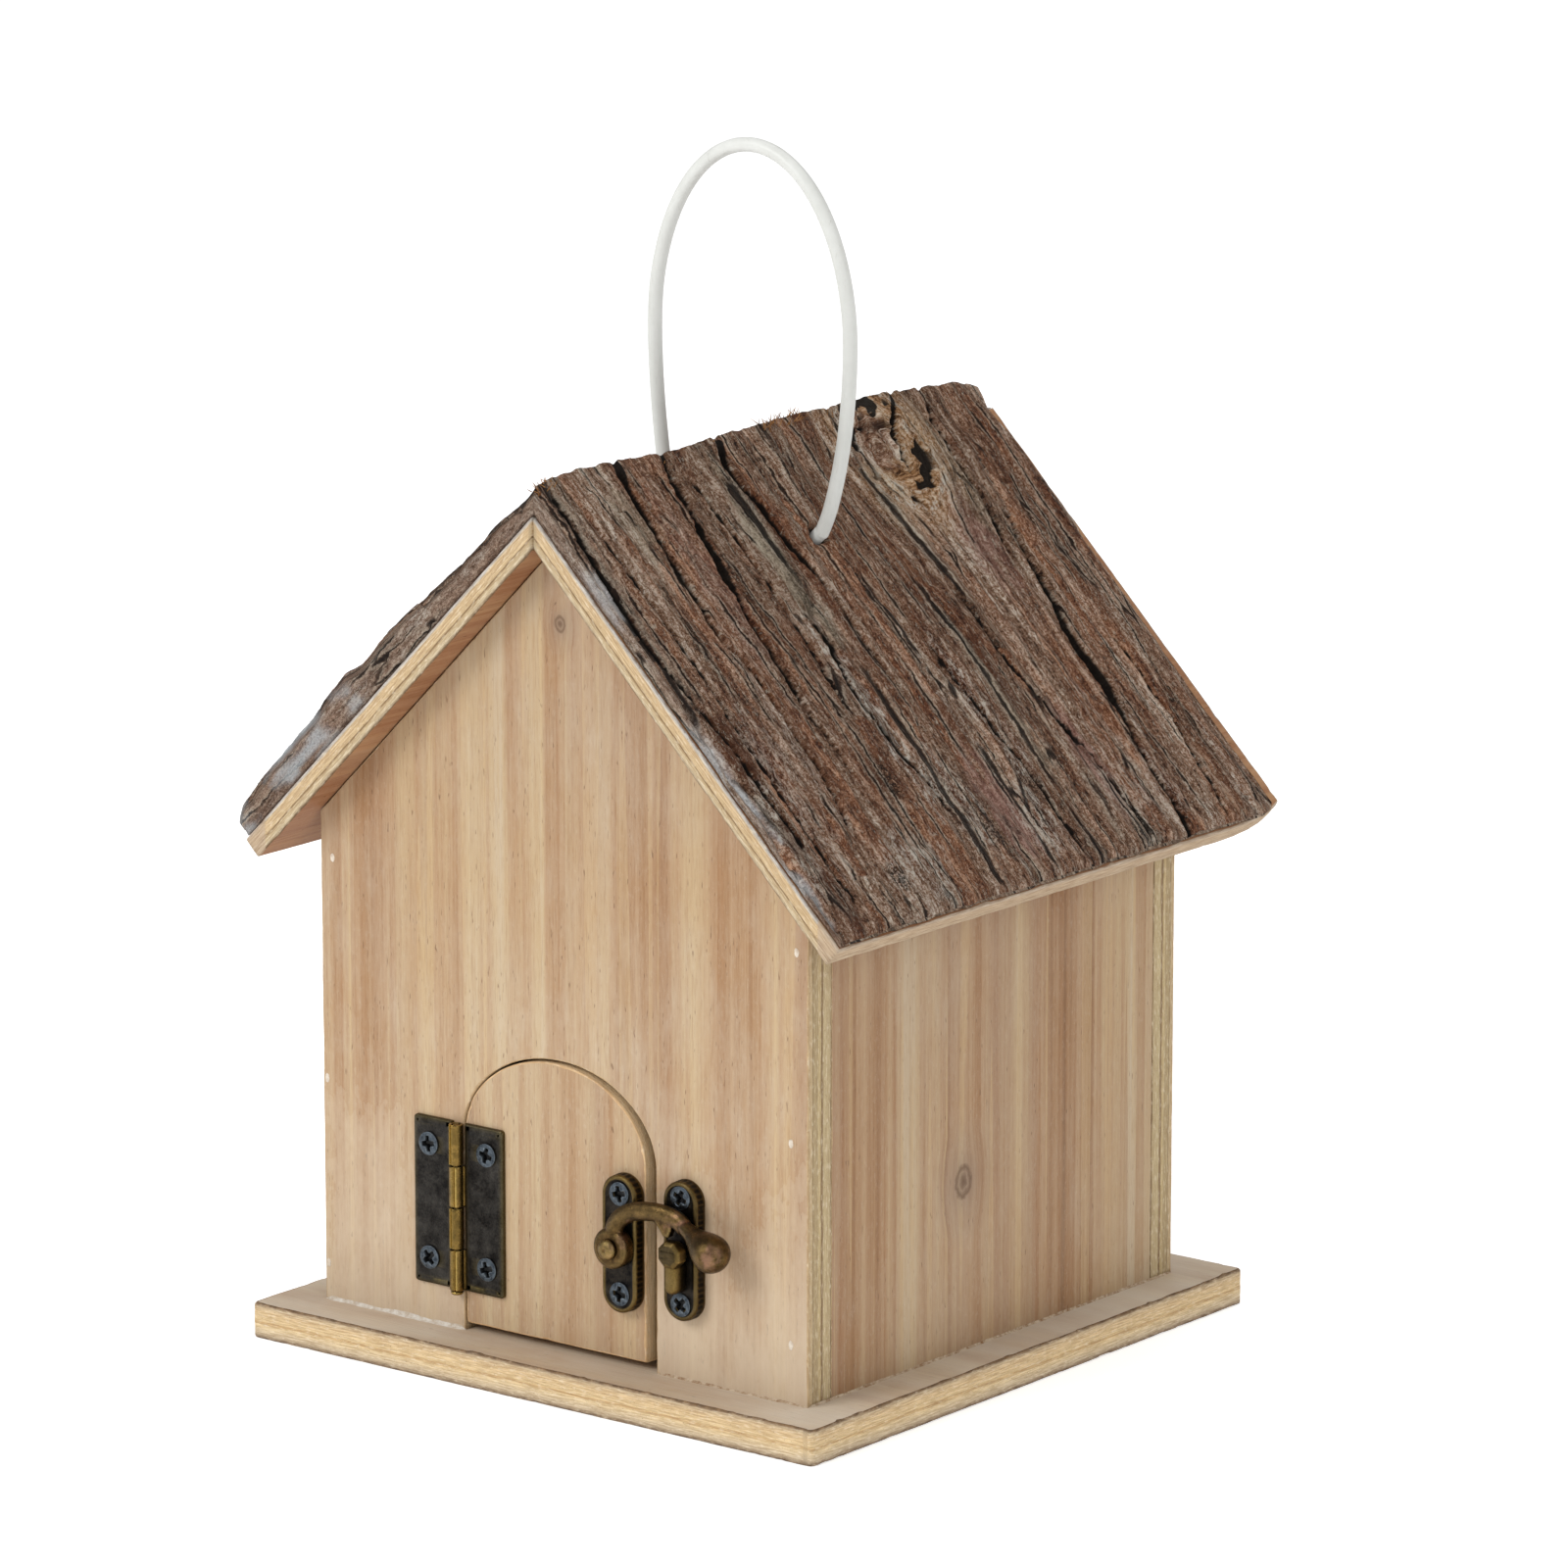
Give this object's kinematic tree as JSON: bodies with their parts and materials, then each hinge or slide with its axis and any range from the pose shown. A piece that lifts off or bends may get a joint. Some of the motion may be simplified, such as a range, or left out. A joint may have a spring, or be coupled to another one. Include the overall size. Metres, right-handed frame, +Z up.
{
  "type": "birdhouse",
  "caption": "Small gable-roofed plywood birdhouse with a bark-clad roof, an arched door on a brass butt hinge, a swing latch and a stiff wire carrying loop.",
  "frame": {"origin": "bottom centre of the whole object, on the surface it stands on", "axes": "+Z up; the wall with the door faces -Y; +X is to the right when facing that wall"},
  "size_m": [0.1666, 0.1654, 0.2643],
  "materials": {
    "plywood": "pine plywood, thin whitewash rubbed back to the grain, matt",
    "roof_plywood": "thin plywood with whitewash left along its edges, matt",
    "bark": "natural bark, fissured along the slope, with grey and rust patches",
    "antique_brass": "antiqued brass, dark in the hollows and rubbed bright along the edges",
    "screw_zinc": "dull zinc",
    "nail_steel": "plain steel, heads touched over with filler",
    "white_plastic": "white plastic coat on steel wire, satin"
  },
  "bodies": {
    "house": {"base_board": "plywood", "front_wall": "plywood", "back_wall": "plywood", "side_wall_left": "plywood", "side_wall_right": "plywood", "roof_board_left": "roof_plywood", "roof_board_right": "roof_plywood", "bark_slab_left": "bark", "bark_slab_right": "bark", "hanging_wire": "white_plastic", "hinge_leaf_wall": "antique_brass", "hinge_pin": "antique_brass", "hinge_screw_wall_lower": "screw_zinc", "hinge_screw_wall_upper": "screw_zinc", "keeper": "antique_brass", "keeper_screw_lower": "screw_zinc", "keeper_screw_upper": "screw_zinc", "nail_front_left_1": "nail_steel", "nail_front_left_2": "nail_steel", "nail_front_left_3": "nail_steel", "nail_front_right_1": "nail_steel", "nail_front_right_2": "nail_steel", "nail_front_right_3": "nail_steel", "nail_back_left_1": "nail_steel", "nail_back_left_2": "nail_steel", "nail_back_left_3": "nail_steel", "nail_back_right_1": "nail_steel", "nail_back_right_2": "nail_steel", "nail_back_right_3": "nail_steel", "nail_base_side_left_1": "nail_steel", "nail_base_side_left_2": "nail_steel", "nail_base_side_right_1": "nail_steel", "nail_base_side_right_2": "nail_steel", "nail_base_front_left": "nail_steel", "nail_base_front_right": "nail_steel", "nail_base_back_left": "nail_steel", "nail_base_back_right": "nail_steel", "nail_roof_front_left_1": "nail_steel", "nail_roof_front_left_2": "nail_steel", "nail_roof_front_right_1": "nail_steel", "nail_roof_front_right_2": "nail_steel", "nail_roof_back_left_1": "nail_steel", "nail_roof_back_left_2": "nail_steel", "nail_roof_back_right_1": "nail_steel", "nail_roof_back_right_2": "nail_steel"},
    "door": {"door": "plywood", "hinge_leaf_door": "antique_brass", "hinge_screw_door_lower": "screw_zinc", "hinge_screw_door_upper": "screw_zinc", "latch_plate": "antique_brass", "latch_rivet": "antique_brass", "latch_screw_lower": "screw_zinc", "latch_screw_upper": "screw_zinc"},
    "latch_hook": {"latch_hook": "antique_brass"}
  },
  "joints": [
    {"name": "door_hinge", "type": "hinge", "parent": "house", "child": "door", "pos_m": [-0.0281, -0.0719, 0.0359], "axis": [0, 0, -1], "range_deg": [0, 160]},
    {"name": "latch_pivot", "type": "hinge", "parent": "door", "child": "latch_hook", "pos_m": [0.0182, -0.0752, 0.0356], "axis": [0, -1, 0], "range_deg": [0, 110]}
  ]
}
